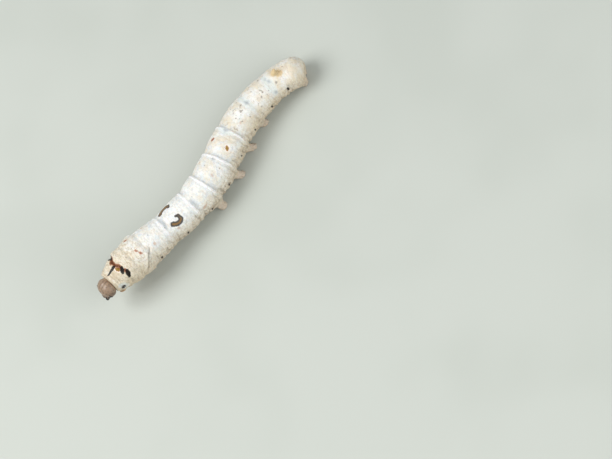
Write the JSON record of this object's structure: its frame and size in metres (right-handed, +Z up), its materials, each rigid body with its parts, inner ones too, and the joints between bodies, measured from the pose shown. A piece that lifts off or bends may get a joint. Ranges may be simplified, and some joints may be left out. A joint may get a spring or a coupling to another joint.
{
  "type": "silkworm larva model",
  "caption": "Life-size silkworm larva at rest: a long pale ringed body on stubby prolegs, with a bent-down head, jointed true legs and a small tail horn.",
  "frame": {"origin": "on the floor, under the middle of the bounding box", "axes": "+Z up from the floor, -X towards the head, +X towards the tail, -Y towards the animal's left side"},
  "size_m": [0.069, 0.0146, 0.0122],
  "materials": {
    "skin": "soft satin cream-white skin",
    "fleshy_foot": "soft satin pinkish-tan flesh",
    "capsule": "semi-gloss grey-brown horn",
    "mouthpart": "satin light brown",
    "jaw": "gloss near-black horn",
    "true_leg": "semi-gloss amber-tan horn"
  },
  "bodies": {
    "root": {"prothorax": "skin", "mesothorax": "skin", "metathorax": "skin", "abdomen_1": "skin", "abdomen_2": "skin", "abdomen_3": "skin", "abdomen_4": "skin", "abdomen_5": "skin", "abdomen_6": "skin", "abdomen_7": "skin", "abdomen_8": "skin", "abdomen_9": "skin", "abdomen_10": "skin", "proleg_3_left": "fleshy_foot", "proleg_3_right": "fleshy_foot", "proleg_4_left": "fleshy_foot", "proleg_4_right": "fleshy_foot", "proleg_5_left": "fleshy_foot", "proleg_5_right": "fleshy_foot", "proleg_6_left": "fleshy_foot", "proleg_6_right": "fleshy_foot", "anal_proleg_left": "fleshy_foot", "leg_prothorax_left": "true_leg", "leg_mesothorax_left": "true_leg", "leg_metathorax_left": "true_leg", "mandible_left": "jaw", "maxilla_left": "mouthpart", "antenna_left": "mouthpart", "anal_proleg_right": "fleshy_foot", "leg_prothorax_right": "true_leg", "leg_mesothorax_right": "true_leg", "leg_metathorax_right": "true_leg", "mandible_right": "jaw", "maxilla_right": "mouthpart", "antenna_right": "mouthpart", "horn": "fleshy_foot", "head_capsule": "capsule", "labrum": "capsule", "labium_and_spinneret": "mouthpart"}
  },
  "joints": []
}
